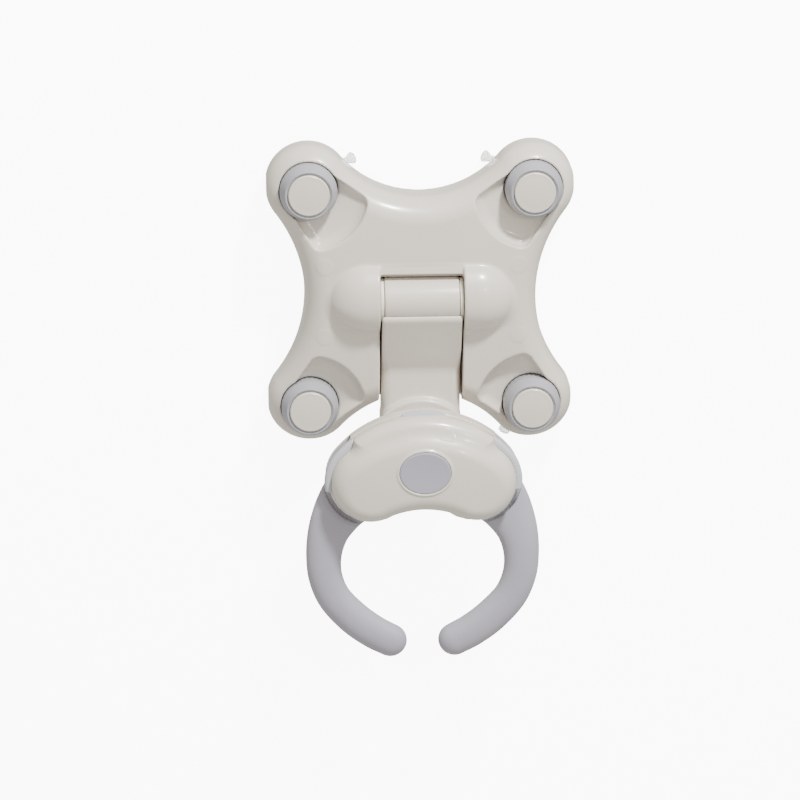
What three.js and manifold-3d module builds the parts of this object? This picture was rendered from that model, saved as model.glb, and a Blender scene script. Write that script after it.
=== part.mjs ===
// Suction-base gripper arm for a desk top.
//
// An X-shaped base stands on four suction cups, each drawn tight by a round lock knob.
// A friction hinge in the middle of the base carries a short arm that folds down into a
// channel in the base. A swivel at the arm's end carries a kidney-shaped head, and two
// geared C-shaped jaws reach out of it. A push button on the head releases the jaws.
//
// Millimetres, +Z up. The whole object's origin is on the desk, under the middle of its
// outline with the arm folded. The pieces are drawn with Y = 0 at the middle of the base,
// and MIDDLE_Y moves them all. -Y is the way the folded arm points, +X is to the right.

import * as THREE from "three";
import { mergeVertices } from "three/addons/utils/BufferGeometryUtils.js";
import Module from "manifold-3d";

const wasm = await Module();
wasm.setup();

// ---------------------------------------------------------------- driving dimensions

const GAP = 0.3; // between pieces that rest on each other
const MIDDLE_Y = -53.15; // the middle of the whole outline, from the middle of the base

// Base
const LOBE = 55.5; // each lobe, and its knob, is this far from the middle in X and in Y
const LOBE_R = 21;
const WAIST_SIDE = 57.5; // half width of the base at its left and right waists
const WAIST_END = 50.8; // half length of the base at its front and back waists
const COVER_BOTTOM = 5.5;
const COVER_EDGE = 10; // the wall is upright up to here, then rounds over
const COVER_ROUND = 14; // width of the rounded shoulder
const COVER_CROWN = 32.5; // height of the cover at its middle
const WALL = 2.6;
const PLATE_TOP = 7.8;

// Hinge
const HINGE_Z = 28;
const PIN_R = 3;
const PIN_HALF = 34;
const BARREL_R = 11.5;
const BARREL_HALF = 18.5;
const BOSS_R = 20; // half width of the pill-shaped boss over the hinge
const BOSS_HALF = 27; // half length of its straight stretch
const BOSS_FOOT = 26; // height of the boss's widest section
const BOSS_RISE = 16;

// Arm
const ARM_HALF = 19.8;
const CHANNEL_HALF = 20.75;
const CHANNEL_FLOOR = 10.4;
const KNUCKLE_R = 13.5;
const ARM_TOP = 26; // flat stretch of the arm
const ARM_BOTTOM = 12.2;

// Swivel at the arm's end
const SWIVEL_Y = -78.5;
const TURNTABLE_R = 27;
const TURNTABLE_TOP = 30;
const RING_R = 23.5;
const RING_TOP = 35.1;
const POST_R = 8;

// Head
const HUB_X = 25.5; // each jaw pivots this far from the middle
const HUB_Y = -87.5;
const FRAME_R = 23.4; // round ends of the head's frame
const COVER_R = 20; // round ends of the head's cover
const HEAD_BOTTOM = 35.5;
const FLOOR_TOP = 38.7;
const FRAME_BOTTOM = 47.8;
const FRAME_TOP = 52;
const HEAD_TOP = 66;
const HEAD_BACK = -52.7;

// Jaws
const JAW_HUB_R = 23;
const JAW_HUB_Z = [39, 44.5];
const GEAR_Z = [44.8, 47.5];
const JAW_Z = 43; // height of the jaws' middle
const JAW_PIN_R = 3;
const GEAR_TEETH = 34;

// Knobs and suction cups
const KNOB_R = 14.6;
const KNOB_TOP_R = 11;
const KNOB_SHOULDER = 26.2;
const KNOB_TOP = 34.6;
const WELL_R = 15.4;
const WELL_FLOOR = 15.6;
const BOWL_FLOOR = 25.4; // the finger bowl round each knob
const STEM_R = 3.2;
const CUP_R = 19;

// ---------------------------------------------------------------- materials

const paint = (color, roughness, metalness = 0) =>
  new THREE.MeshStandardMaterial({ color, roughness, metalness });
const CREAM = paint(0xdcd8d0, 0.38);
const PALE_GREY = paint(0xc3c4c8, 0.45);
const SOFT_GREY = paint(0xa9a9b0, 0.6);
const SILICONE = paint(0xe6e6e2, 0.5);
const STEEL = paint(0xb8bbbe, 0.3, 0.9);
const NYLON = paint(0xece9df, 0.5);
const DARK = paint(0x3c3d40, 0.6);

// ---------------------------------------------------------------- solids and meshes

// A manifold-3d solid of a closed three.js geometry.
function solid(geometry) {
  const bare = geometry.index ? geometry.toNonIndexed() : geometry.clone();
  for (const name of Object.keys(bare.attributes)) {
    if (name !== "position") bare.deleteAttribute(name);
  }
  const merged = mergeVertices(bare, 1e-4);
  return new wasm.Manifold(
    new wasm.Mesh({
      numProp: 3,
      vertProperties: merged.attributes.position.array,
      triVerts: new Uint32Array(merged.index.array),
    }),
  );
}

// A three.js geometry of a manifold-3d solid.
function geometryOf(body) {
  const made = body.getMesh();
  const geometry = new THREE.BufferGeometry();
  geometry.setAttribute("position", new THREE.BufferAttribute(made.vertProperties, 3));
  geometry.setIndex(new THREE.BufferAttribute(made.triVerts, 1));
  const flat = geometry.toNonIndexed();
  flat.computeVertexNormals();
  return flat;
}

const object = new THREE.Group();
const pieces = new THREE.Group();
pieces.position.y = -MIDDLE_Y;
object.add(pieces);

function node(name, body, material) {
  const mesh = new THREE.Mesh(geometryOf(body), material);
  mesh.name = name;
  pieces.add(mesh);
}

const join = (first, ...others) => others.reduce((sum, each) => sum.add(each), first);
const cut = (first, ...others) => others.reduce((rest, each) => rest.subtract(each), first);

function box(x0, x1, y0, y1, z0, z1) {
  const geometry = new THREE.BoxGeometry(x1 - x0, y1 - y0, z1 - z0);
  geometry.translate((x0 + x1) / 2, (y0 + y1) / 2, (z0 + z1) / 2);
  return solid(geometry);
}

// An upright cylinder or cone.
function upright(x, y, z0, z1, r0, r1 = r0, sides = 32) {
  const geometry = new THREE.CylinderGeometry(r1, r0, z1 - z0, sides);
  geometry.rotateX(Math.PI / 2);
  geometry.translate(x, y, (z0 + z1) / 2);
  return solid(geometry);
}

// A cylinder along X.
function across(y, z, x0, x1, r, sides = 32) {
  const geometry = new THREE.CylinderGeometry(r, r, x1 - x0, sides);
  geometry.rotateZ(-Math.PI / 2);
  geometry.translate((x0 + x1) / 2, y, z);
  return solid(geometry);
}

// A turned piece about an upright axis, from a closed profile of [radius, height].
function turned(x, y, profile, sides = 32) {
  const points = [...profile, profile[0]].map(([r, z]) => new THREE.Vector2(r, z));
  const geometry = new THREE.LatheGeometry(points, sides);
  geometry.rotateX(Math.PI / 2);
  geometry.translate(x, y, 0);
  return outward(geometry);
}

// The solid of a geometry whose faces may all point inwards.
function outward(geometry) {
  const body = solid(geometry);
  if (body.volume() > 0) return body;
  const flipped = geometry.index ? geometry.toNonIndexed() : geometry.clone();
  const p = flipped.attributes.position;
  for (let i = 0; i < p.count; i += 3) {
    const second = new THREE.Vector3().fromBufferAttribute(p, i + 1);
    const third = new THREE.Vector3().fromBufferAttribute(p, i + 2);
    p.setXYZ(i + 1, third.x, third.y, third.z);
    p.setXYZ(i + 2, second.x, second.y, second.z);
  }
  return solid(flipped);
}

// An upright prism on an outline of [x, y] points.
function prism(outline, z0, z1) {
  const shape = new THREE.Shape(outline.map(([x, y]) => new THREE.Vector2(x, y)));
  const geometry = new THREE.ExtrudeGeometry(shape, { depth: z1 - z0, bevelEnabled: false });
  geometry.translate(0, 0, z0);
  return outward(geometry);
}

// A prism along X on a side profile of [y, z] points.
function sideways(profile, x0, x1) {
  const shape = new THREE.Shape(profile.map(([y, z]) => new THREE.Vector2(y, z)));
  const geometry = new THREE.ExtrudeGeometry(shape, { depth: x1 - x0, bevelEnabled: false });
  const turn = new THREE.Matrix4().makeBasis(
    new THREE.Vector3(0, 1, 0),
    new THREE.Vector3(0, 0, 1),
    new THREE.Vector3(1, 0, 0),
  );
  geometry.applyMatrix4(turn);
  geometry.translate(x0, 0, 0);
  return outward(geometry);
}

// A wire coil about an upright axis.
function coil(x, y, z0, z1, radius, wire, turns) {
  const steps = 10 * turns;
  const points = [];
  for (let i = 0; i <= steps; i++) {
    const angle = (2 * Math.PI * turns * i) / steps;
    const z = z0 + wire + ((z1 - z0 - 2 * wire) * i) / steps;
    points.push(new THREE.Vector3(x + radius * Math.cos(angle), y + radius * Math.sin(angle), z));
  }
  const section = new THREE.Shape();
  section.absarc(0, 0, wire, 0, 2 * Math.PI);
  const path = new THREE.CatmullRomCurve3(points);
  const options = { steps, curveSegments: 2, extrudePath: path, bevelEnabled: false };
  return outward(new THREE.ExtrudeGeometry(section, options));
}

// ---------------------------------------------------------------- outlines made of arcs

// An outline is a ring of arcs that meet tangentially, anticlockwise. A convex arc turns
// left and shrinks as the outline moves in; a hollow one turns right and grows.
function arc(cx, cy, r, from, to, hollow = false) {
  return { cx, cy, r, from, to, hollow };
}

function trace(arcs, inset, steps) {
  const points = [];
  for (const a of arcs) {
    const r = a.hollow ? a.r + inset : a.r - inset;
    for (let i = 0; i < steps; i++) {
      const angle = a.from + ((a.to - a.from) * i) / steps;
      points.push([a.cx + r * Math.cos(angle), a.cy + r * Math.sin(angle)]);
    }
  }
  return points;
}

// Radius of an arc centred on an axis of symmetry, hollow towards it, that touches a
// circle of radius r centred `side` off the axis and `along` inside the arc's own tip.
const hollowRadius = (side, along, r) =>
  (side * side + along * along - r * r) / (2 * (r - along));
const bulgeRadius = (side, along, r) =>
  (side * side + along * along - r * r) / (2 * (along - r));

function baseOutline() {
  const sideR = hollowRadius(LOBE, WAIST_SIDE - LOBE, LOBE_R);
  const endR = hollowRadius(LOBE, WAIST_END - LOBE, LOBE_R);
  const sideX = WAIST_SIDE + sideR;
  const endY = WAIST_END + endR;
  const sideTurn = Math.atan2(LOBE, sideX - LOBE);
  const endTurn = Math.atan2(LOBE, endY - LOBE);
  const arcs = [];
  for (let quarter = 0; quarter < 4; quarter++) {
    const even = quarter % 2 === 0;
    const turn = (quarter * Math.PI) / 2;
    const lobeX = LOBE * Math.SQRT2 * Math.cos(turn + Math.PI / 4);
    const lobeY = LOBE * Math.SQRT2 * Math.sin(turn + Math.PI / 4);
    const before = even ? sideTurn : endTurn;
    const after = even ? endTurn : sideTurn;
    arcs.push(arc(lobeX, lobeY, LOBE_R, turn - before, turn + Math.PI / 2 + after));
    const nextAxis = turn + Math.PI / 2;
    const far = even ? endY : sideX;
    const r = even ? endR : sideR;
    const [cx, cy] = [far * Math.cos(nextAxis), far * Math.sin(nextAxis)];
    const back = nextAxis + Math.PI;
    arcs.push(arc(cx, cy, r, back + after, back - after, true));
  }
  return arcs;
}

// The kidney outline of the head, for round ends of radius r, a back tip at `back` and a
// front hollow whose tip is at `front`.
function headOutline(r, back, front) {
  const bulge = bulgeRadius(HUB_X, back - HUB_Y, r);
  const bulgeY = back - bulge;
  const hollow = hollowRadius(HUB_X, HUB_Y - front, r);
  const hollowY = front - hollow;
  const backTurn = Math.atan2(HUB_X, HUB_Y - bulgeY);
  const frontTurn = Math.atan2(HUB_X, HUB_Y - hollowY);
  const up = Math.PI / 2;
  return [
    arc(HUB_X, HUB_Y, r, -up - frontTurn, up - backTurn),
    arc(0, bulgeY, bulge, up - backTurn, up + backTurn),
    arc(-HUB_X, HUB_Y, r, up + backTurn, 3 * up + frontTurn),
    arc(0, hollowY, hollow, up + frontTurn, up - frontTurn, true),
  ];
}

// A closed solid from a stack of rings with the same number of points, closed by a fan at
// its two ends.
function stacked(rings) {
  const count = rings[0].length;
  const positions = [];
  const triangle = (a, b, c) => positions.push(...a, ...b, ...c);
  const middle = (ring) => {
    const sum = ring.reduce((s, p) => [s[0] + p[0], s[1] + p[1], s[2] + p[2]], [0, 0, 0]);
    return sum.map((value) => value / ring.length);
  };
  for (let i = 0; i < count; i++) {
    const j = (i + 1) % count;
    for (let k = 0; k + 1 < rings.length; k++) {
      const [low, high] = [rings[k], rings[k + 1]];
      triangle(low[i], low[j], high[j]);
      triangle(low[i], high[j], high[i]);
    }
    triangle(rings[0][j], rings[0][i], middle(rings[0]));
    const last = rings[rings.length - 1];
    triangle(last[i], last[j], middle(last));
  }
  const geometry = new THREE.BufferGeometry();
  geometry.setAttribute("position", new THREE.Float32BufferAttribute(positions, 3));
  return outward(geometry);
}

// A slab on an outline, upright from bottom to edge and rounded over towards top(x, y).
function domed({ arcs, steps, inset = 0, bottom, edge, round, top, turns = 5, inner = [] }) {
  const level = (points, z) => points.map(([x, y]) => [x, y, z]);
  const rings = [level(trace(arcs, inset, steps), bottom), level(trace(arcs, inset, steps), edge)];
  for (let i = 1; i <= turns; i++) {
    const angle = (Math.PI / 2) * (i / turns);
    const points = trace(arcs, inset + round * (1 - Math.cos(angle)), steps);
    rings.push(points.map(([x, y]) => [x, y, edge + (top(x, y) - edge) * Math.sin(angle)]));
  }
  const last = rings[rings.length - 1];
  const cx = last.reduce((s, p) => s + p[0], 0) / last.length;
  const cy = last.reduce((s, p) => s + p[1], 0) / last.length;
  for (const share of inner) {
    rings.push(
      last.map(([x, y]) => {
        const [u, v] = [cx + (x - cx) * share, cy + (y - cy) * share];
        return [u, v, top(u, v)];
      }),
    );
  }
  return stacked(rings);
}

// ---------------------------------------------------------------- base

const LOBES = [
  { name: "back_left", x: -LOBE, y: LOBE, tab: 25 },
  { name: "back_right", x: LOBE, y: LOBE, tab: 155 },
  { name: "front_left", x: -LOBE, y: -LOBE, tab: 8 },
  { name: "front_right", x: LOBE, y: -LOBE, tab: -118 },
];
const SCREWS = [
  [48, 18],
  [-48, 18],
  [48, -18],
  [-48, -18],
];

const crown = (drop) => (x, y) =>
  COVER_CROWN - drop - 5.5 * (y / LOBE) ** 2 - 2.5 * (x / LOBE) ** 2;

// The finger bowl round a knob, as the solid that it takes away.
function bowl(x, y) {
  const profile = [
    [0, BOWL_FLOOR],
    [20, BOWL_FLOOR],
    [24.5, 26.3],
    [28, 28.4],
    [30.5, 31.5],
    [32.5, 38],
    [0, 38],
  ];
  return turned(x, y, profile, 20);
}

function hingeBoss(shrink, sides) {
  const r = BOSS_R - shrink;
  const geometry = new THREE.CapsuleGeometry(r, 2 * BOSS_HALF, sides / 4, sides);
  geometry.rotateZ(Math.PI / 2);
  geometry.scale(1, 1, (BOSS_RISE - shrink) / r);
  geometry.translate(0, 0, BOSS_FOOT);
  return solid(geometry);
}

// The side profile of the slot round the hinge barrel and of the arm's channel.
function channelProfile() {
  const clear = KNUCKLE_R + 0.8;
  const points = [[-80, CHANNEL_FLOOR], [-6, CHANNEL_FLOOR]];
  const steps = 8;
  for (let i = 0; i <= steps; i++) {
    points.push(onBarrel(clear, -Math.PI / 2 + ((Math.PI / 2 + 0.08) * i) / steps));
  }
  points.push([18.6, 32.6], [18.6, 60], [-80, 60]);
  return points;
}

function baseCover() {
  const arcs = baseOutline();
  const shape = { arcs, steps: 7, edge: COVER_EDGE, round: COVER_ROUND, turns: 4 };
  const outer = domed({ ...shape, bottom: COVER_BOTTOM, top: crown(0), inner: [0.66, 0.33] });
  const hollow = domed({
    ...shape,
    steps: 5,
    turns: 2,
    inset: WALL,
    bottom: 0,
    round: COVER_ROUND - WALL,
    top: crown(WALL + 1.2),
  });
  const side = CHANNEL_HALF + WALL;
  const wellR = WELL_R + 2.2;
  const wells = LOBES.map(({ x, y }) => upright(x, y, WELL_FLOOR - WALL, 60, wellR, wellR, 12));
  const posts = SCREWS.map(([x, y]) => upright(x, y, PLATE_TOP + GAP, 60, 4, 4, 10));
  const bowls = LOBES.map(({ x, y }) => bowl(x, y));
  const underBowls = LOBES.map(({ x, y }) => upright(x, y, BOWL_FLOOR - WALL, 60, 33, 33, 12));
  const keel = box(-side, side, -80, 21, PLATE_TOP + GAP, 60);
  const cavity = cut(join(hollow, hingeBoss(WALL, 12)), keel, ...wells, ...posts, ...underBowls);
  const bores = LOBES.flatMap(({ x, y }) => [
    upright(x, y, WELL_FLOOR, 60, WELL_R, WELL_R, 20),
    upright(x, y, 0, WELL_FLOOR + 1, STEM_R + 0.5, STEM_R + 0.5, 12),
  ]);
  const screwHoles = SCREWS.map(([x, y]) => upright(x, y, 0, 19, 1.8, 1.8, 8));
  const slot = sideways(channelProfile(), -CHANNEL_HALF, CHANNEL_HALF);
  const pinHole = across(0, HINGE_Z, -side - 1, side + 1, PIN_R + 0.3, 20);
  const body = join(outer, hingeBoss(0, 20));
  return cut(body, cavity, ...bowls, ...bores, ...screwHoles, slot, pinHole);
}

function basePlate() {
  const plate = prism(trace(baseOutline(), WALL + 0.5, 5), COVER_BOTTOM, PLATE_TOP);
  const holes = LOBES.map(({ x, y }) => upright(x, y, 0, 20, 7.8, 7.8, 20));
  const sinks = SCREWS.flatMap(([x, y]) => [
    upright(x, y, 0, 20, 1.9, 1.9, 8),
    upright(x, y, 0, COVER_BOTTOM + 1.5, 3.5, 3.5, 12),
  ]);
  return cut(plate, ...holes, ...sinks);
}

function screw(x, y, z, headR, headHeight, shankR, length) {
  const socket = 0.5 * headR;
  const profile = [
    [0, z + 0.9],
    [socket, z + 0.9],
    [socket, z],
    [headR, z],
    [headR, z + headHeight],
    [shankR, z + headHeight],
    [shankR, z + length],
    [0, z + length],
  ];
  return turned(x, y, profile, 10);
}

// One bearing block under each end of the hinge boss holds the pin.
function hingeBlock(side) {
  const x0 = CHANNEL_HALF + WALL + GAP;
  const inner = side > 0 ? x0 : -x0 - 11;
  const body = box(inner, inner + 11, -8, 8, PLATE_TOP + GAP, 34.5);
  const bore = across(0, HINGE_Z, inner - 1, inner + 12, PIN_R + 0.15, 24);
  return cut(body, bore);
}

function frictionWasher(side) {
  const inner = side > 0 ? BARREL_HALF + GAP : -CHANNEL_HALF + GAP;
  const outer = side > 0 ? CHANNEL_HALF - GAP : -BARREL_HALF - GAP;
  return cut(
    across(0, HINGE_Z, inner, outer, 9, 20),
    across(0, HINGE_Z, inner - 1, outer + 1, PIN_R + 0.15, 20),
  );
}

// ---------------------------------------------------------------- lock knobs and cups

function lockRing(x, y) {
  const bore = STEM_R + 0.3;
  const profile = [
    [bore, WELL_FLOOR + 1],
    [6.4, WELL_FLOOR + 1],
    [6.4, 27.4],
    [12.3, 27.4],
    [12.3, WELL_FLOOR + 0.6],
    [KNOB_R, WELL_FLOOR + 0.6],
    [KNOB_R, KNOB_SHOULDER],
    [KNOB_TOP_R, KNOB_TOP],
    [KNOB_TOP_R - 0.3, KNOB_TOP],
    [KNOB_TOP_R - 0.3, 30.6],
    [bore, 30.6],
  ];
  return turned(x, y, profile, 20);
}

function lockCap(x, y) {
  const profile = [
    [0, 30.9],
    [10.3, 30.9],
    [10.3, KNOB_TOP],
    [9.8, 35.2],
    [0, 35.6],
  ];
  return turned(x, y, profile, 20);
}

function cupStem(x, y) {
  const profile = [
    [0, 6.6],
    [4, 6.6],
    [4, 8.4],
    [STEM_R, 8.4],
    [STEM_R, 27.6],
    [0, 27.6],
  ];
  return turned(x, y, profile, 10);
}

function suctionCup(x, y, tabDegrees) {
  const profile = [
    [0, 2.2],
    [9, 2],
    [17, 0],
    [CUP_R, 0],
    [CUP_R, 0.8],
    [15.5, 2.6],
    [11, 4.9],
    [7, 5.3],
    [7, 12.2],
    [3.7, 12.2],
    [3.7, 8.8],
    [4.3, 8.8],
    [4.3, 6.3],
    [0, 6.3],
  ];
  const tab = [
    [17, -2.6],
    [22.5, -1.7],
    [24.2, -3.1],
    [26, -2.6],
    [26.6, 0],
    [26, 2.6],
    [24.2, 3.1],
    [22.5, 1.7],
    [17, 2.6],
  ];
  const angle = THREE.MathUtils.degToRad(tabDegrees);
  const placed = tab.map(([u, v]) => [
    x + u * Math.cos(angle) - v * Math.sin(angle),
    y + u * Math.sin(angle) + v * Math.cos(angle),
  ]);
  return join(turned(x, y, profile, 20), prism(placed, 0.25, 1.9));
}

// ---------------------------------------------------------------- arm

const onBarrel = (r, angle) => [r * Math.cos(angle), HINGE_Z + r * Math.sin(angle)];

// The side profile of the arm: it wraps the front of the barrel, slopes down with the
// base, then levels out under the head.
function armProfile() {
  const [lip, under] = [Math.PI / 2 + 0.42, (3 * Math.PI) / 2];
  const steps = 12;
  const inner = [];
  for (let i = 0; i <= steps; i++) {
    inner.push(onBarrel(BARREL_R + GAP, under + ((lip - under) * i) / steps));
  }
  const top = [
    [-12, 37.6],
    [-30, 29.4],
    [-35, 27.5],
    [-41, 26.2],
    [-47, ARM_TOP],
    [SWIVEL_Y, ARM_TOP],
  ];
  const bottom = [
    [SWIVEL_Y, ARM_BOTTOM],
    [-9, ARM_BOTTOM],
    [0, HINGE_Z - KNUCKLE_R],
  ];
  return [onBarrel(KNUCKLE_R, lip), ...top, ...bottom, ...inner];
}

function armShell() {
  const link = sideways(armProfile(), -ARM_HALF, ARM_HALF);
  const table = upright(0, SWIVEL_Y, ARM_BOTTOM, TURNTABLE_TOP, TURNTABLE_R, TURNTABLE_R, 32);
  const pocket = box(-ARM_HALF + 2.6, ARM_HALF - 2.6, -47, -16, 0, 21);
  const bore = upright(0, SWIVEL_Y, 0, 60, POST_R + 0.3);
  const well = upright(0, SWIVEL_Y, 0, 17.2, 13.2);
  return cut(join(link, table), pocket, bore, well);
}

function armBottom() {
  const inset = 2.6 + GAP;
  return box(-ARM_HALF + inset, ARM_HALF - inset, -47 + GAP, -16 - GAP, ARM_BOTTOM, ARM_BOTTOM + 2.4);
}

function armBarrel() {
  return cut(
    across(0, HINGE_Z, -BARREL_HALF, BARREL_HALF, BARREL_R, 32),
    across(0, HINGE_Z, -BARREL_HALF - 1, BARREL_HALF + 1, PIN_R + 0.15, 24),
  );
}

function swivelRing() {
  const inner = POST_R + 6;
  const profile = [
    [inner, TURNTABLE_TOP + GAP],
    [RING_R, TURNTABLE_TOP + GAP],
    [RING_R, RING_TOP - 1],
    [RING_R - 1, RING_TOP],
    [inner, RING_TOP],
  ];
  return turned(0, SWIVEL_Y, profile, 28);
}

// ---------------------------------------------------------------- head

const frameOutline = () => headOutline(FRAME_R, HEAD_BACK, -104.1);

// Everything within `reach` of a jaw's pivot, on both sides.
const pivots = (z0, z1, reach, sides = 32) =>
  [-HUB_X, HUB_X].map((x) => upright(x, HUB_Y, z0, z1, reach, reach, sides));

function headBase() {
  const outline = frameOutline();
  const floor = domed({
    arcs: outline,
    steps: 9,
    inset: 5,
    bottom: HEAD_BOTTOM,
    edge: HEAD_BOTTOM + 0.2,
    round: 0.1,
    turns: 1,
    top: () => FLOOR_TOP,
  });
  const skirt = stacked([
    trace(outline, 4, 9).map(([x, y]) => [x, y, HEAD_BOTTOM]),
    trace(outline, 1.4, 9).map(([x, y]) => [x, y, HEAD_BOTTOM + 2.2]),
    trace(outline, 0, 9).map(([x, y]) => [x, y, HEAD_BOTTOM + 6]),
    trace(outline, 0, 9).map(([x, y]) => [x, y, FRAME_BOTTOM - GAP]),
  ]);
  const inside = prism(trace(outline, 3, 8), FLOOR_TOP, 60);
  const sweeps = pivots(JAW_HUB_Z[0] - GAP, 60, FRAME_R + 0.6);
  const opening = box(-80, 80, -140, -76, FLOOR_TOP, 60);
  const shell = cut(join(skirt, floor), inside, ...sweeps, opening);
  const post = upright(0, SWIVEL_Y, 17, HEAD_BOTTOM + 1, POST_R);
  const holes = [
    upright(0, SWIVEL_Y, 0, 36.4, 2.6, 2.6, 16),
    ...pivots(0, 60, JAW_PIN_R + 0.15, 20),
    ...headScrewPlaces().flatMap(([x, y]) => [
      upright(x, y, 0, 60, 1.7, 1.7, 10),
      upright(x, y, 0, HEAD_BOTTOM + 2, 3.3, 3.3, 12),
    ]),
  ];
  return cut(join(shell, post), ...holes);
}

const headScrewPlaces = () => [
  [-11, -61],
  [11, -61],
];

function headFrame() {
  const slab = domed({
    arcs: frameOutline(),
    steps: 9,
    bottom: FRAME_BOTTOM,
    edge: FRAME_TOP - 1.6,
    round: 1.6,
    turns: 2,
    top: () => FRAME_TOP,
  });
  const middle = upright(0, SWIVEL_Y, 40, 60, 4.3, 4.3, 24);
  const holes = [
    ...pivots(0, FRAME_BOTTOM + 2.4, JAW_PIN_R + 0.15, 20),
    ...headScrewPlaces().map(([x, y]) => upright(x, y, 0, 60, 1.8, 1.8, 12)),
  ];
  return cut(slab, middle, ...holes);
}

const headTop = (drop) => (x, y) =>
  HEAD_TOP - drop - 3.2 * (x / 45) ** 2 - 2.2 * ((y - SWIVEL_Y) / 28) ** 2;

const BUTTON = { x: 12.7, y: 10.6 }; // half widths of the oval button

function oval(grow, z0, z1) {
  const geometry = new THREE.CylinderGeometry(1, 1, z1 - z0, 36);
  geometry.rotateX(Math.PI / 2);
  geometry.scale(BUTTON.x + grow, BUTTON.y + grow, 1);
  geometry.translate(0, SWIVEL_Y, (z0 + z1) / 2);
  return solid(geometry);
}

function headCover() {
  const low = FRAME_TOP + GAP;
  const kidney = headOutline(COVER_R, -57.5, -100.7);
  const shape = { arcs: kidney, steps: 9, edge: low + 2.4, round: 11 };
  const outer = domed({ ...shape, bottom: low, top: headTop(0), turns: 4, inner: [0.5] });
  const inner = domed({
    ...shape,
    steps: 6,
    inset: 2.4,
    bottom: low - 3,
    round: 9,
    top: headTop(2.6),
    turns: 2,
  });
  const shoulder = domed({
    arcs: frameOutline(),
    steps: 9,
    bottom: low,
    edge: low + 1,
    round: 8,
    top: () => 59.5,
    turns: 3,
  });
  const back = shoulder.intersect(box(-34.9, 34.9, -74, -40, 0, 80));
  const posts = headScrewPlaces().map(([x, y]) => upright(x, y, low, 61, 3.4, 3.4, 14));
  const guide = cut(oval(2.2, 58, 62), oval(0.4, 50, 70));
  const walls = cut(join(outer, back), cut(inner, ...posts));
  const screwHoles = headScrewPlaces().map(([x, y]) => upright(x, y, 0, 58, 1.8, 1.8, 12));
  return cut(join(walls, guide), oval(0.35, 40, 80), ...screwHoles);
}

function releaseButton() {
  const cap = oval(0, 60, 65.4);
  const stem = upright(0, SWIVEL_Y, 50.4, 61, 3, 3, 20);
  return join(cap, stem);
}

// ---------------------------------------------------------------- jaws

// A jaw's centreline, half widths and half heights, from its pivot out to its tip, for the
// left jaw.
const JAW_PATH = [
  { x: -31, y: -92.5, w: 17, h: 2.6 },
  { x: -37.2, y: -98.6, w: 15, h: 3.4 },
  { x: -43, y: -106.8, w: 12.6, h: 4.8 },
  { x: -47.6, y: -117, w: 10.3, h: 6.1 },
  { x: -49.6, y: -128.5, w: 9, h: 6.6 },
  { x: -48.8, y: -140, w: 8.6, h: 6.7 },
  { x: -44.2, y: -151.4, w: 8.5, h: 6.7 },
  { x: -34.8, y: -162, w: 8.7, h: 6.7 },
  { x: -25, y: -169.6, w: 8.6, h: 6.6 },
  { x: -16.3, y: -174.4, w: 8.4, h: 6.4 },
];

const mix = (list, at) => {
  const i = Math.min(Math.floor(at), list.length - 2);
  return list[i] + (list[i + 1] - list[i]) * (at - i);
};

// One section of a jaw: a rounded box, `w` and `h` half wide and high, across direction
// `dir` at `centre`.
function jawSection(centre, dir, w, h) {
  const count = 10;
  const ring = [];
  for (let i = 0; i < count; i++) {
    const angle = (2 * Math.PI * i) / count;
    const soft = (value) => Math.sign(value) * Math.abs(value) ** 0.8;
    const side = w * soft(Math.cos(angle));
    const rise = h * soft(Math.sin(angle));
    ring.push([centre.x - dir.y * side, centre.y + dir.x * side, JAW_Z + rise]);
  }
  return ring;
}

function jawArm() {
  const path = new THREE.CatmullRomCurve3(JAW_PATH.map(({ x, y }) => new THREE.Vector3(x, y, 0)));
  const last = JAW_PATH.length - 1;
  const rings = [];
  const steps = 16;
  for (let i = 0; i <= steps; i++) {
    const at = (last * i) / steps;
    const centre = path.getPoint(i / steps);
    const dir = path.getTangent(i / steps).normalize();
    const w = mix(JAW_PATH.map((p) => p.w), at);
    const h = mix(JAW_PATH.map((p) => p.h), at);
    rings.push(jawSection(centre, dir, w, h));
  }
  const tip = path.getPoint(1);
  const dir = path.getTangent(1).normalize();
  const { w, h } = JAW_PATH[last];
  for (const angle of [30, 55, 78].map(THREE.MathUtils.degToRad)) {
    const centre = tip.clone().addScaledVector(dir, w * Math.sin(angle));
    rings.push(jawSection(centre, dir, w * Math.cos(angle), h * Math.cos(angle)));
  }
  return stacked(rings);
}

function leftJaw() {
  const hub = upright(-HUB_X, HUB_Y, ...JAW_HUB_Z, JAW_HUB_R, JAW_HUB_R, 32);
  const reach = FRAME_R + 0.9;
  const above = upright(-HUB_X, HUB_Y, JAW_HUB_Z[1], 70, reach, reach, 32);
  const below = upright(-HUB_X, HUB_Y, 0, JAW_HUB_Z[0], reach, reach, 32);
  const arm = cut(jawArm(), above, below);
  const bore = upright(-HUB_X, HUB_Y, 0, 70, JAW_PIN_R + 0.3, JAW_PIN_R + 0.3, 24);
  const springWell = upright(-HUB_X, HUB_Y, 41, 70, 9, 9, 20);
  return cut(join(hub, arm), bore, springWell);
}

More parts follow.
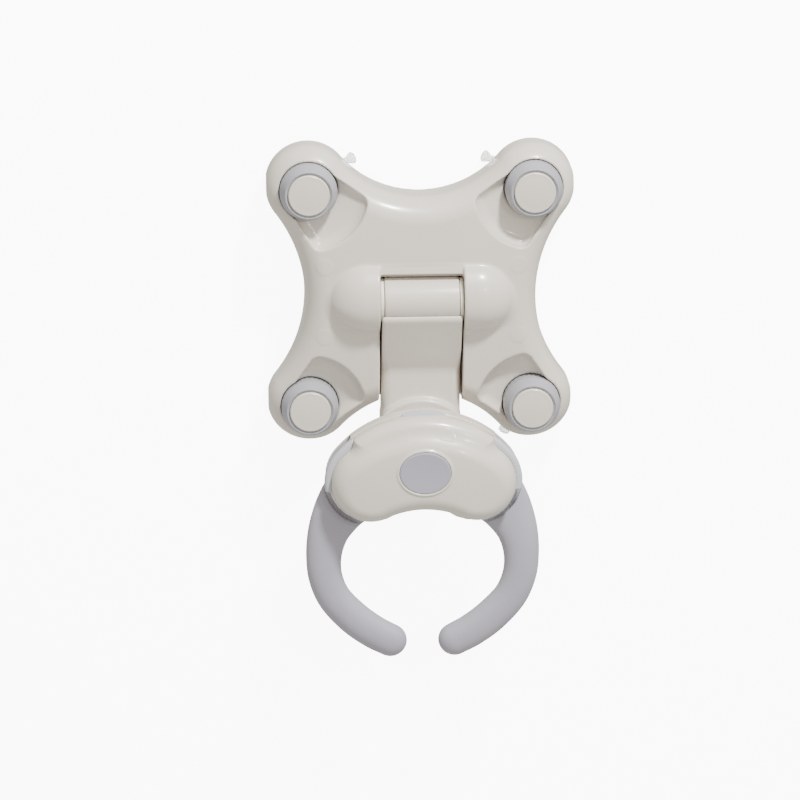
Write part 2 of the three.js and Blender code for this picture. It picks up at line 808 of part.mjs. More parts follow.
// The sector gear on the left jaw's hub. Its pitch circle reaches the middle of the head.
// A sector with a gap on the line between the pivots meshes with one that has a tooth.
function leftGear(toothOnLine) {
  const pitch = (2 * Math.PI) / GEAR_TEETH;
  const [tip, root, plain] = [HUB_X + 1.25, HUB_X - 1.7, 21.8];
  const [first, last] = [-1, 3]; // teeth from just before the line round to the back
  const points = [];
  const put = (r, angle) =>
    points.push([-HUB_X + r * Math.cos(angle), HUB_Y + r * Math.sin(angle)]);
  for (let k = first; k <= last; k++) {
    const middle = (k + (toothOnLine ? 0 : 0.5)) * pitch;
    put(root, middle - 0.34 * pitch);
    put(HUB_X, middle - 0.21 * pitch);
    put(tip, middle - 0.11 * pitch);
    put(tip, middle + 0.11 * pitch);
    put(HUB_X, middle + 0.21 * pitch);
    put(root, middle + 0.34 * pitch);
  }
  const from = Math.atan2(points[points.length - 1][1] - HUB_Y, points[points.length - 1][0] + HUB_X);
  const to = 2 * Math.PI + Math.atan2(points[0][1] - HUB_Y, points[0][0] + HUB_X);
  const steps = 22;
  for (let i = 1; i < steps; i++) put(plain, from + ((to - from) * i) / steps);
  const bore = upright(-HUB_X, HUB_Y, 0, 70, JAW_PIN_R + 0.3, JAW_PIN_R + 0.3, 24);
  return cut(prism(points, ...GEAR_Z), bore);
}

const mirrored = (body) => {
  const geometry = geometryOf(body);
  geometry.scale(-1, 1, 1);
  return outward(geometry);
};

// ---------------------------------------------------------------- assembly

node("base_cover", baseCover(), CREAM);
node("base_plate", basePlate(), PALE_GREY);
SCREWS.forEach(([x, y], i) =>
  node(`base_screw_${i + 1}`, screw(x, y, COVER_BOTTOM - 0.3, 3.2, 1.5, 1.5, 12), STEEL),
);
for (const { name, x, y, tab } of LOBES) {
  node(`suction_cup_${name}`, suctionCup(x, y, tab), SILICONE);
  node(`cup_stem_${name}`, cupStem(x, y), STEEL);
  node(`lock_ring_${name}`, lockRing(x, y), PALE_GREY);
  node(`lock_cap_${name}`, lockCap(x, y), CREAM);
}
node("hinge_pin", across(0, HINGE_Z, -PIN_HALF, PIN_HALF, PIN_R, 16), STEEL);
for (const [name, side] of [["left", -1], ["right", 1]]) {
  node(`hinge_block_${name}`, hingeBlock(side), DARK);
  node(`friction_washer_${name}`, frictionWasher(side), DARK);
}
node("arm_shell", armShell(), CREAM);
node("arm_bottom", armBottom(), CREAM);
node("arm_barrel", armBarrel(), CREAM);
node("swivel_ring", swivelRing(), SOFT_GREY);
node("swivel_washer", turned(0, SWIVEL_Y, [[2.8, 15], [12.5, 15], [12.5, 16.7], [2.8, 16.7]], 28), STEEL);
node("swivel_screw", screw(0, SWIVEL_Y, 12.8, 5, 1.9, 2.3, 22), STEEL);
node("head_base", headBase(), CREAM);
node("head_frame", headFrame(), PALE_GREY);
node("head_cover", headCover(), CREAM);
headScrewPlaces().forEach(([x, y], i) =>
  node(`head_screw_${i + 1}`, screw(x, y, HEAD_BOTTOM + 0.2, 2.9, 1.4, 1.4, 20), STEEL),
);
node("release_button", releaseButton(), SOFT_GREY);
node("button_spring", coil(0, SWIVEL_Y, FRAME_TOP + GAP, 60 - GAP, 5.6, 0.5, 4), STEEL);
const jaw = leftJaw();
for (const [name, side] of [["left", -1], ["right", 1]]) {
  const x = side * HUB_X;
  const gear = leftGear(side < 0);
  node(`jaw_${name}`, side < 0 ? jaw : mirrored(jaw), SOFT_GREY);
  node(`jaw_gear_${name}`, side < 0 ? gear : mirrored(gear), NYLON);
  const [low, high] = [HEAD_BOTTOM + 0.3, FRAME_BOTTOM + 2];
  node(`jaw_pin_${name}`, upright(x, HUB_Y, low, high, JAW_PIN_R, JAW_PIN_R, 20), STEEL);
  node(`jaw_spring_${name}`, coil(x, HUB_Y, 41.3, 44.3, 6.3, 0.4, 2), STEEL);
}

export default object;
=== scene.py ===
"""Suction-base gripper arm: the looks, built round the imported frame.

The moulded pieces are made as signed-distance fields, which give every edge its fillet, and
are meshed by a surface net. Turned pieces are spun from profiles. Fields and profiles are in
millimetres with Y = 0 at the middle of the base; `place` turns them into the row frame.
"""

import math

import bmesh
import bpy
import numpy as np
from mathutils import Matrix, Vector


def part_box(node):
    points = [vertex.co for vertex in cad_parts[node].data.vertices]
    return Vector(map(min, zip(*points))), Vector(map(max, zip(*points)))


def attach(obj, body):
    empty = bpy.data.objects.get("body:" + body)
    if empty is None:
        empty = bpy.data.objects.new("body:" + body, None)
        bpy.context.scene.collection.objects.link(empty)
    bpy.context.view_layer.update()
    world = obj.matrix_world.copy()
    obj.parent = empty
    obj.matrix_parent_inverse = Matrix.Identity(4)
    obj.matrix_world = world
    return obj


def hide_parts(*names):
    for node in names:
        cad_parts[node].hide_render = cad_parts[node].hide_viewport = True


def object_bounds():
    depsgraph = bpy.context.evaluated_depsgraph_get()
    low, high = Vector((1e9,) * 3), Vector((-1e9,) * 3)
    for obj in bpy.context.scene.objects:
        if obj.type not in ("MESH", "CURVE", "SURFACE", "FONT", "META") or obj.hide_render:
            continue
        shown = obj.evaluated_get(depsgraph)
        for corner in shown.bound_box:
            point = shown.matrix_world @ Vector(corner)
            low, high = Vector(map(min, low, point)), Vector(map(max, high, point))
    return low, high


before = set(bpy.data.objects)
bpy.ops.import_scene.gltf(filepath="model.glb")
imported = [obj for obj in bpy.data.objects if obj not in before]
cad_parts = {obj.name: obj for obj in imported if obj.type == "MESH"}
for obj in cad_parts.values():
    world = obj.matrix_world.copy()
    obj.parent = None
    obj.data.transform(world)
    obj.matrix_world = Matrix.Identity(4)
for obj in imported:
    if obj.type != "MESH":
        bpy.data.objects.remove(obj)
cad_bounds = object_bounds()

MM = 0.001


# ------------------------------------------------------------------ places, from the frame


def box_mm(node):
    low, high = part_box(node)
    return Vector(low) / MM, Vector(high) / MM


def middle(node):
    low, high = box_mm(node)
    return (low + high) / 2


MIDDLE_Y = middle("base_cover").y  # the middle of the base in the row frame


def local(node):
    """Middle of a node with Y counted from the middle of the base."""
    point = middle(node)
    return Vector((point.x, point.y - MIDDLE_Y, point.z))


LOBE = local("lock_ring_front_right").x
HINGE_Z = local("arm_barrel").z
SWIVEL_Y = local("swivel_ring").y
HUB_X = local("jaw_pin_right").x
HUB_Y = local("jaw_pin_right").y
SIDES = (("left", -1), ("right", 1))
LOBES = {
    f"{end}_{side}": (sign * LOBE, (1 if end == "back" else -1) * LOBE)
    for end in ("back", "front")
    for side, sign in SIDES
}
TAB_TURNS = {"back_left": 25, "back_right": 155, "front_left": 8, "front_right": -118}

# ------------------------------------------------------------------ driving sizes, mm

LOBE_R = 21.0
WAIST_SIDE = 57.5
WAIST_END = 50.8
COVER_BOTTOM = box_mm("base_cover")[0].z
COVER_CROWN = 32.5
WALL = 2.6
BOSS_R = 20.0
BOSS_HALF = 27.0
BOSS_FOOT = 26.0
BOSS_RISE = box_mm("base_cover")[1].z - BOSS_FOOT
CHANNEL_HALF = 20.75
CHANNEL_FLOOR = 10.4
BARREL_R = (box_mm("arm_barrel")[1].z - box_mm("arm_barrel")[0].z) / 2
KNUCKLE_R = 13.5
ARM_HALF = 19.8
ARM_TOP = 26.0
LIP_TOP = 39.5
ARM_BOTTOM = box_mm("arm_shell")[0].z
TURNTABLE_R = 27.0
TURNTABLE_TOP = 30.0
FRAME_R = 23.4
HEAD_BACK = -52.7
HEAD_BOTTOM = 35.5
FRAME_LOW, FRAME_HIGH = box_mm("head_frame")[0].z, box_mm("head_frame")[1].z
HEAD_TOP = 65.3
COVER_LOW = FRAME_LOW + 1.4
BUTTON_X, BUTTON_Y = 12.7, 10.6
JAW_Z = 43.0
JAW_HUB_R = 22.3
WELL_R = 14.6
WELL_FLOOR = 15.6
SCOOP_FLOOR = 22.4
BASE_EDGE_R = 12
SCREW_X, SCREW_Y = 48, 18  # the base screws
HEAD_SCREW_X, HEAD_SCREW_Y = 11, -61
PIN_BORE_R = 3.15
STEM_HOLE_R = 3.7
COLLAR_R = 23.4
CUP_R = 19
KNOB_R = 14.25
CAP_R = 10.25

# ------------------------------------------------------------------ field operators


def both(a, b, r=0.0):
    """Where both solids are, with the edge between them rounded to radius r."""
    if np.ndim(r) == 0 and r == 0:
        return np.maximum(a, b)
    u, v = np.maximum(a + r, 0), np.maximum(b + r, 0)
    return np.minimum(np.maximum(a, b), -r) + np.hypot(u, v)


def either(a, b, r=0.0):
    """Where either solid is, with a fillet of radius r between them."""
    return -both(-a, -b, r)


def without(a, b, r=0.0):
    """The first solid with the second cut out of it."""
    return both(a, -b, r)


def disc(x, y, cx, cy, r):
    return np.hypot(x - cx, y - cy) - r


def slab(value, low, high):
    return np.maximum(low - value, value - high)


def rounded_rectangle(x, y, half_x, half_y, r):
    u, v = np.abs(x) - half_x + r, np.abs(y) - half_y + r
    return np.hypot(np.maximum(u, 0), np.maximum(v, 0)) + np.minimum(np.maximum(u, v), 0) - r


def hollow_radius(side, along, r):
    return (side * side + along * along - r * r) / (2 * (r - along))


def beyond(x, y, ax, ay, bx, by):
    """Positive on the left of the line from a to b."""
    return (bx - ax) * (y - ay) - (by - ay) * (x - ax)


# ------------------------------------------------------------------ meshing a field

CORNERS = [(i, j, k) for i in (0, 1) for j in (0, 1) for k in (0, 1)]
EDGES = [
    (a, b)
    for n, a in enumerate(CORNERS)
    for b in CORNERS[n + 1 :]
    if sum(abs(p - q) for p, q in zip(a, b)) == 1
]


def slope(field, points, reach=0.05):
    """The field's value and gradient at each point."""
    value = field(*points.T)
    gradient = np.empty_like(points)
    for axis in range(3):
        ahead = points.copy()
        ahead[:, axis] += reach
        gradient[:, axis] = (field(*ahead.T) - value) / reach
    return value, gradient


def settle(field, points, step):
    """Moves each point onto the surface of the field, along its slope."""
    for _ in range(3):
        value, gradient = slope(field, points)
        length = np.maximum((gradient**2).sum(1), 0.05)
        move = -(value / length)[:, None] * gradient
        size = np.maximum(np.linalg.norm(move, axis=1), 1e-9)
        points = points + move * np.minimum(1, 0.5 * step / size)[:, None]
    return points


def net(field, low, high, step):
    """A surface net of the field: points on the surface, and the four corners of each face.

    The border of the grid counts as empty, so a solid that reaches it is closed off flat
    there. `moulded` needs enough spare room for its piece to end inside the grid.
    """
    axes = [np.arange(a - step, b + 2 * step, step) for a, b in zip(low, high)]
    x, y, z = np.meshgrid(*axes, indexing="ij")
    values = field(x.ravel(), y.ravel(), z.ravel()).reshape(x.shape)
    for axis in range(3):
        border = np.moveaxis(values, axis, 0)[[0, -1]]
        np.moveaxis(values, axis, 0)[[0, -1]] = np.maximum(border, step / 2)
    inside = values < 0
    count = sum(
        inside[i : i - 1 or None, j : j - 1 or None, k : k - 1 or None].astype(np.int8)
        for i, j, k in CORNERS
    )
    cells = np.argwhere((count > 0) & (count < 8))
    index = np.full(count.shape, -1, np.int64)
    index[tuple(cells.T)] = np.arange(len(cells))
    total = np.zeros((len(cells), 3))
    crossings = np.zeros(len(cells))
    for a, b in EDGES:
        va = values[tuple((cells + a).T)]
        vb = values[tuple((cells + b).T)]
        crosses = (va < 0) != (vb < 0)
        share = np.where(crosses, va / np.where(crosses, va - vb, 1), 0)
        total += crosses[:, None] * (np.array(a) + share[:, None] * (np.array(b) - a))
        crossings += crosses
    points = np.array(low) - step + (cells + total / crossings[:, None]) * step
    faces = []
    for axis in range(3):
        first, second = np.delete(np.arange(3), axis)
        start = np.moveaxis(inside, axis, 0)
        change = np.argwhere(np.moveaxis(start[:-1] != start[1:], 0, axis))
        change = change[(change[:, first] > 0) & (change[:, second] > 0)]
        ring = []
        for u, v in ((1, 1), (0, 1), (0, 0), (1, 0)):
            cell = change.copy()
            cell[:, first] -= u
            cell[:, second] -= v
            ring.append(index[tuple(cell.T)])
        quad = np.stack(ring, 1)
        leaves = inside[tuple(change.T)]
        if axis == 1:
            leaves = ~leaves
        quad[~leaves] = quad[~leaves][:, ::-1]
        faces.append(quad)
    return points, np.concatenate(faces)


def relax(points, faces):
    """Moves each point halfway to the middle of its neighbours."""
    total = np.zeros_like(points)
    count = np.zeros(len(points))
    for side in range(4):
        a, b = faces[:, side], faces[:, (side + 1) % 4]
        for here, there in ((a, b), (b, a)):
            np.add.at(total, here, points[there])
            np.add.at(count, here, 1)
    return (points + total / np.maximum(count, 1)[:, None]) / 2


def place(points):
    """Points in mm from the middle of the base, as metres in the row frame."""
    moved = np.array(points, float)
    moved[:, 1] += MIDDLE_Y
    return moved * MM


def mesh_object(name, points, faces, material, smooth=True):
    mesh = bpy.data.meshes.new(name)
    mesh.from_pydata(place(points).tolist(), [], [list(map(int, f)) for f in faces])
    mesh.update()
    if smooth:
        mesh.shade_smooth()
    piece = bpy.data.objects.new(name, mesh)
    bpy.context.scene.collection.objects.link(piece)
    piece.data.materials.append(material)
    return piece


OBJECT_LOW, OBJECT_HIGH = (np.array(c) / MM - (0, MIDDLE_Y, 0) for c in cad_bounds)


def moulded(name, field, node, step, material, spare=0.0):
    """A piece meshed from a field in its CAD node's box, grown by `spare` all round.

    Points past that box, or past the whole object's, are moved onto it.
    """
    low, high = (np.array(c) - (0, MIDDLE_Y, 0) for c in box_mm(node))
    low, high = np.maximum(low - spare, OBJECT_LOW), np.minimum(high + spare, OBJECT_HIGH)
    points, faces = net(field, low, high, step)
    for _ in range(2):
        points = settle(field, relax(points, faces), step)
    return mesh_object(name, np.clip(points, low, high), faces, material)


def turned(name, x, y, profile, material, segments=96, smooth_angle=35):
    """A piece spun about an upright axis from a closed profile of (radius, height)."""
    points, faces = [], []
    rows = len(profile)
    for s in range(segments):
        angle = 2 * math.pi * s / segments
        for r, z in profile:
            points.append((x + r * math.cos(angle), y + r * math.sin(angle), z))
    for s in range(segments):
        t = (s + 1) % segments
        for i in range(rows):
            j = (i + 1) % rows
            if profile[i][0] == 0 and profile[j][0] == 0:
                continue
            faces.append((s * rows + i, t * rows + i, t * rows + j, s * rows + j))
    piece = mesh_object(name, points, faces, material)
    weld_and_shade(piece, smooth_angle)
    return piece


def weld_and_shade(piece, smooth_angle):
    work = bmesh.new()
    work.from_mesh(piece.data)
    bmesh.ops.remove_doubles(work, verts=work.verts, dist=1e-6)
    bmesh.ops.dissolve_degenerate(work, edges=work.edges, dist=1e-7)
    bmesh.ops.recalc_face_normals(work, faces=work.faces)
    for edge in work.edges:
        edge.smooth = edge.calc_face_angle(0) < math.radians(smooth_angle)
    work.to_mesh(piece.data)
    work.free()


def rounded(profile, r, steps=4):
    """A closed profile with each of its corners rounded to radius r where there is room."""
    out = []
    count = len(profile)
    for n, corner in enumerate(profile):
        before, after = Vector(profile[n - 1]), Vector(profile[(n + 1) % count])
        here = Vector(corner)
        if corner[0] == 0:
            out.append(corner)
            continue
        reach = min(r, (before - here).length / 2.2, (after - here).length / 2.2)
        a = here + (before - here).normalized() * reach
        b = here + (after - here).normalized() * reach
        for i in range(steps + 1):
            t = i / steps
            out.append(tuple(a * (1 - t) ** 2 + here * 2 * t * (1 - t) + b * t * t))
    return out


# ------------------------------------------------------------------ materials


class Nodes:
    """A short way to build a node tree."""

    def __init__(self, name):
        self.material = bpy.data.materials.new(name)
        self.material.use_nodes = True
        self.tree = self.material.node_tree
        self.shader = self.tree.nodes["Principled BSDF"]
        self.place = self.add("ShaderNodeTexCoord").outputs["Object"]

    def add(self, kind, **settings):
        made = self.tree.nodes.new(kind)
        for key, value in settings.items():
            setattr(made, key, value)
        return made

    def link(self, source, target):
        self.tree.links.new(source, target)

    def noise(self, scale, detail=3.0):
        made = self.add("ShaderNodeTexNoise")
        made.inputs["Scale"].default_value = scale
        made.inputs["Detail"].default_value = detail
        self.link(self.place, made.inputs["Vector"])
        return made.outputs["Fac"]

    def spread(self, value, low, high, start=0.0, end=1.0):
        made = self.add("ShaderNodeMapRange")
        for key, number in (
            ("From Min", start), ("From Max", end), ("To Min", low), ("To Max", high)
        ):
            made.inputs[key].default_value = number
        self.link(value, made.inputs["Value"])
        return made.outputs["Result"]

    def blend(self, factor, first, second):
        made = self.add("ShaderNodeMix", data_type="RGBA")
        self.link(factor, made.inputs["Factor"])
        for socket, value in ((made.inputs["A"], first), (made.inputs["B"], second)):
            if isinstance(value, bpy.types.NodeSocket):
                self.link(value, socket)
            else:
                socket.default_value = (*value, 1.0)
        return made.outputs["Result"]

    def bump(self, height, strength, distance, below=None):
        made = self.add("ShaderNodeBump")
        made.inputs["Strength"].default_value = strength
        made.inputs["Distance"].default_value = distance
        self.link(height, made.inputs["Height"])
        if below is not None:
            self.link(below, made.inputs["Normal"])
        return made.outputs["Normal"]

    def edges(self):
        """1 on sharp outer edges, 0 elsewhere."""
        geometry = self.add("ShaderNodeNewGeometry")
        return self.spread(geometry.outputs["Pointiness"], 0.0, 1.0, 0.54, 0.64)


def tint(color, by):
    return tuple(min(1.0, max(0.0, c * k)) for c, k in zip(color, by))


def plastic(name, color, roughness, grain, coat=0.0, wear=0.35):
    """Moulded plastic: faint mottling, a fine grain, and edges polished a little paler."""
    n = Nodes(name)
    cloudy = n.spread(n.noise(28.0, 2.0), 0.0, 1.0, 0.35, 0.65)
    base = n.blend(cloudy, tint(color, (0.985, 0.985, 0.98)), tint(color, (1.01, 1.0, 0.995)))
    flecks = n.spread(n.noise(900.0, 1.0), 0.0, 0.25, 0.55, 0.75)
    base = n.blend(flecks, base, tint(color, (0.93, 0.93, 0.93)))
    worn = n.add("ShaderNodeMath", operation="MULTIPLY")
    n.link(n.edges(), worn.inputs[0])
    worn.inputs[1].default_value = wear
    base = n.blend(worn.outputs[0], base, tint(color, (1.1, 1.1, 1.1)))
    n.link(base, n.shader.inputs["Base Color"])
    smudges = n.noise(60.0, 4.0)
    n.link(n.spread(smudges, roughness - 0.04, roughness + 0.07, 0.3, 0.7),
           n.shader.inputs["Roughness"])
    ripple = n.bump(n.noise(140.0, 1.0), 0.06, 0.0006)
    n.link(n.bump(n.noise(2600.0, 2.0), grain, 0.00006, ripple), n.shader.inputs["Normal"])
    n.shader.inputs["Specular IOR Level"].default_value = 0.5
    n.shader.inputs["Coat Weight"].default_value = coat
    n.shader.inputs["Coat Roughness"].default_value = 0.12
    return n.material


def rubber(name, color, roughness):
    """Soft-touch overmould: matt, with a fine orange-peel skin and a little sheen."""
    n = Nodes(name)
    cloudy = n.spread(n.noise(45.0, 3.0), 0.0, 1.0, 0.3, 0.7)
    base = n.blend(cloudy, tint(color, (0.96, 0.96, 0.965)), tint(color, (1.03, 1.03, 1.03)))
    dust = n.spread(n.noise(1400.0, 2.0), 0.0, 0.35, 0.58, 0.78)
    base = n.blend(dust, base, tint(color, (1.12, 1.12, 1.11)))
    n.link(base, n.shader.inputs["Base Color"])
    n.link(n.spread(n.noise(90.0, 3.0), roughness - 0.06, roughness + 0.06),
           n.shader.inputs["Roughness"])
    skin = n.bump(n.noise(1800.0, 3.0), 0.35, 0.00008)
    n.link(n.bump(n.noise(220.0, 1.0), 0.08, 0.0004, skin), n.shader.inputs["Normal"])
    n.shader.inputs["Sheen Weight"].default_value = 0.12
    n.shader.inputs["Sheen Roughness"].default_value = 0.4
    return n.material


def silicone(name, color):
    """Milky translucent silicone."""
    n = Nodes(name)
    cloudy = n.spread(n.noise(70.0, 3.0), 0.0, 1.0, 0.3, 0.7)
    n.link(n.blend(cloudy, tint(color, (0.96, 0.97, 0.98)), color), n.shader.inputs["Base Color"])
    n.link(n.spread(n.noise(110.0, 3.0), 0.24, 0.38), n.shader.inputs["Roughness"])
    n.link(n.bump(n.noise(600.0, 2.0), 0.15, 0.0001), n.shader.inputs["Normal"])
    n.shader.inputs["Transmission Weight"].default_value = 0.45
    n.shader.inputs["IOR"].default_value = 1.41
    n.shader.inputs["Subsurface Weight"].default_value = 0.35
    n.shader.inputs["Subsurface Radius"].default_value = (0.004, 0.004, 0.004)
    return n.material


def steel(name, color, stretch=(1.0, 1.0, 18.0)):
    """Zinc-plated steel with fine turning marks."""
    n = Nodes(name)
    mapping = n.add("ShaderNodeMapping")
    mapping.inputs["Scale"].default_value = stretch
    n.link(n.place, mapping.inputs["Vector"])
    marks = n.add("ShaderNodeTexNoise")
    marks.inputs["Scale"].default_value = 500.0
    n.link(mapping.outputs["Vector"], marks.inputs["Vector"])
    n.link(n.blend(n.noise(120.0), tint(color, (0.9, 0.9, 0.91)), color),
           n.shader.inputs["Base Color"])
    n.link(n.spread(marks.outputs["Fac"], 0.22, 0.42), n.shader.inputs["Roughness"])
    n.link(n.bump(marks.outputs["Fac"], 0.2, 0.00004), n.shader.inputs["Normal"])
    n.shader.inputs["Metallic"].default_value = 1.0
    return n.material


CREAM = plastic("cream_shell", (0.665, 0.625, 0.555), 0.31, 0.14, coat=0.35)
PALE_GREY = plastic("pale_grey_plastic", (0.50, 0.515, 0.56), 0.42, 0.2)
KNOB_GREY = plastic("knob_grey", (0.335, 0.34, 0.375), 0.4, 0.2)
BASE_GREY = plastic("base_plate_grey", (0.52, 0.52, 0.53), 0.5, 0.35)
SOFT_GREY = rubber("soft_grey", (0.35, 0.342, 0.395), 0.56)
SILICONE = silicone("silicone", (0.86, 0.87, 0.86))
STEEL = steel("steel", (0.62, 0.63, 0.64))
NYLON = plastic("nylon", (0.80, 0.77, 0.68), 0.5, 0.25)
CREAM_INSIDE = plastic("cream_bracket", (0.62, 0.585, 0.52), 0.45, 0.3)

# ------------------------------------------------------------------ outlines


def base_outline(x, y):
    """Distance to the X-shaped outline: round lobes joined by hollow arcs."""
    u, v = np.abs(x), np.abs(y)
    side_r = hollow_radius(LOBE, WAIST_SIDE - LOBE, LOBE_R)
    end_r = hollow_radius(LOBE, WAIST_END - LOBE, LOBE_R)
    side_x, end_y = WAIST_SIDE + side_r, WAIST_END + end_r
    waist = np.maximum(side_r - np.hypot(u - side_x, v), end_r - np.hypot(u, v - end_y))
    in_lobe = (beyond(u, v, LOBE, LOBE, side_x, 0) > 0) & (
        beyond(u, v, LOBE, LOBE, 0, end_y) < 0
    )
    return np.where(in_lobe, disc(u, v, LOBE, LOBE, LOBE_R), waist)


def kidney(x, y, end_x, end_y, r, back, front):
    """Distance to the head's outline: two round ends, a bulging back and a hollow front."""
    u = np.abs(x)
    along = back - end_y
    bulge_r = (end_x**2 + along**2 - r * r) / (2 * (along - r))
    hollow_r = hollow_radius(end_x, end_y - front, r)
    bulge_y, hollow_y = back - bulge_r, front - hollow_r
    middle_part = np.maximum(
        np.hypot(u, y - bulge_y) - bulge_r, hollow_r - np.hypot(u, y - hollow_y)
    )
    in_end = (beyond(u, y, end_x, end_y, 0, hollow_y) > 0) & (
        beyond(u, y, 0, bulge_y, end_x, end_y) < 0
    )
    return np.where(in_end, disc(u, y, end_x, end_y, r), middle_part)


def frame_plan(x, y):
    return kidney(x, y, HUB_X + 1.2, HUB_Y, 22.6, HEAD_BACK, -103.9)


def cover_plan(x, y):
    """Outline of the cover's dome."""
    return kidney(x, y, 26.9, -87.0, 19.0, -57.5, -99.6)


def shoulder_plan(x, y):
    """Where the cover reaches the head's outline across the back, between the two ears."""
    return both(frame_plan(x, y), both(np.abs(x) - 34.9, -74 - y, 3), 0.8)


def from_pivots(x, y, r):
    return disc(np.abs(x), y, HUB_X, HUB_Y, r)


def from_swivel(x, y, r):
    return disc(x, y, 0, SWIVEL_Y, r)


def button_plan(x, y, grow=0.0):
    half_x, half_y = BUTTON_X + grow, BUTTON_Y + grow
    u, v = x / half_x, (y - SWIVEL_Y) / half_y
    k0 = np.hypot(u, v)
    k1 = np.hypot(u / half_x, v / half_y)
    return k0 * (k0 - 1) / np.maximum(k1, 1e-6)


# ------------------------------------------------------------------ base


def crown(x, y):
    """Height of the cover's top, which falls a little further towards the front."""
    fall = np.where(y > 0, 2.4, 4.0)
    return COVER_CROWN - fall * (y / LOBE) ** 2 - 1.6 * (x / LOBE) ** 2


def scoop(x, y, z):
    """The scoop on the inner side of each knob, as the space above it.

    It is as wide as the knob, spreads towards the middle of the base and ends in an arc.
    """
    in_x, in_y = LOBE - np.abs(x), LOBE - np.abs(y)
    along, across = (in_x + in_y) / math.sqrt(2), (in_x - in_y) / math.sqrt(2)
    r = np.hypot(in_x, in_y)
    rim = np.where(y > 0, 29.5, 27.5)
    plan = both(both(np.abs(across) - 13.4 - 0.2 * along, r - rim, 3), -along)
    floor_z = SCOOP_FLOOR + 0.16 * np.maximum(r - 14, 0)
    return both(0.86 * plan + 0.5 * np.clip(floor_z + 3 - z, 0, 5), floor_z - z, 3)


def channel(x, y, z):
    """The slot round the hinge barrel, and the channel that the arm lies in.

    Behind the barrel it is wider, where the arm's top comes down at the hinge's limit.
    """
    ahead = both(y, CHANNEL_FLOOR - z, 1.5)
    round_barrel = np.hypot(y, z - HINGE_Z) - KNUCKLE_R - np.where(y > 3, 1.4, 0.35)
    ledge = np.maximum(3 - y, z - HINGE_Z - 0.5)
    round_barrel = np.maximum(round_barrel, -np.maximum(
        ledge, BARREL_R + 0.3 - np.hypot(y, z - HINGE_Z)))
    behind = np.maximum(np.maximum(y - 18.6, 32.3 + 0.2 * (18.6 - y) - z), -y)
    side = either(either(ahead, round_barrel, 1.0), behind, 0.2)
    return both(side, np.abs(x) - CHANNEL_HALF, 1.2)


def hinge_boss(x, y, z):
    along = np.maximum(np.abs(x) - BOSS_HALF, 0)
    squat = (z - BOSS_FOOT) * BOSS_R / BOSS_RISE
    across = np.where(y < 0, 1.2 * y, y)
    return (np.sqrt(along**2 + across**2 + squat**2) - BOSS_R) * 0.82


def base_skin(x, y, z):
    skin = both(base_outline(x, y), z - crown(x, y), BASE_EDGE_R)
    skin = without(skin, scoop(x, y, z), 0.9)
    skin = either(skin, hinge_boss(x, y, z), 1.2 + 1.8 * np.clip(0.5 - y / 16, 0, 1))
    well = np.maximum(disc(np.abs(x), np.abs(y), LOBE, LOBE, WELL_R), WELL_FLOOR - z)
    skin = without(skin, well, 0.9)
    return without(skin, channel(x, y, z), 0.6)


def base_cover(x, y, z):
    skin = base_skin(x, y, z)
    shell = both(skin, -(skin + WALL))
    post = np.maximum(disc(np.abs(x), np.abs(y), SCREW_X, SCREW_Y, 4), 8.1 - z)
    shell = either(shell, np.maximum(post, skin), 0.5)
    shell = both(shell, COVER_BOTTOM - z, 0.8)
    stem_hole = disc(np.abs(x), np.abs(y), LOBE, LOBE, STEM_HOLE_R)
    screw_hole = np.maximum(disc(np.abs(x), np.abs(y), SCREW_X, SCREW_Y, 1.8), z - 19)
    pin_hole = np.maximum(np.hypot(y, z - HINGE_Z) - 3.3, np.abs(x) - 25)
    return without(shell, np.minimum(np.minimum(stem_hole, screw_hole), pin_hole))


def base_plate(x, y, z):
    low, high = box_mm("base_plate")[0].z, box_mm("base_plate")[1].z
    plate = both(base_outline(x, y) + WALL + 0.5, slab(z, low, high), 0.5)
    cup_hole = disc(np.abs(x), np.abs(y), LOBE, LOBE, 7.8)
    screw = disc(np.abs(x), np.abs(y), SCREW_X, SCREW_Y, 0)
    sink = np.minimum(screw - 1.9, np.maximum(screw - 3.5, z - low - 1.5))
    groove = np.maximum(np.abs(base_outline(x, y) + 12) - 0.9, z - low - 0.7)
    return without(plate, np.minimum(np.minimum(cup_hole, sink), groove), 0.25)


# ------------------------------------------------------------------ suction cups and knobs


def suction_cup(x0, y0, turn):
    cos, sin = math.cos(math.radians(turn)), math.sin(math.radians(turn))
    top_r, top_z = [0, 7, 11, 15.5, CUP_R], [5.4, 5.3, 4.9, 2.6, 0.8]
    low_r, low_z = [0, 9, 17, CUP_R], [2.2, 2.0, 0.0, 0.0]

    def field(x, y, z):
        r = np.hypot(x - x0, y - y0)
        bell = both(np.maximum(z - np.interp(r, top_r, top_z), r - CUP_R),
                    np.interp(r, low_r, low_z) - z, 0.25)
        neck = both(r - 7, slab(z, 3.5, 12.2), 0.5)
        head_room = np.maximum(r - 4.3, slab(z, 6.3, 10.5))  # for the stem's head to lift in
        pocket = np.minimum(head_room, np.maximum(r - STEM_HOLE_R, 8 - z))
        cup = without(either(bell, neck, 1.2), pocket)
        u = (x - x0) * cos + (y - y0) * sin
        v = -(x - x0) * sin + (y - y0) * cos
        half = np.interp(u, [17, 22, 24, 25.4, 26.6], [2.8, 1.6, 2.9, 3.1, 1.8])
        tab = both(both(np.abs(v) - half, slab(u, 16, 26.6), 1.0), slab(z, 0.25, 1.9), 0.5)
        return either(cup, tab, 0.6)

    return field


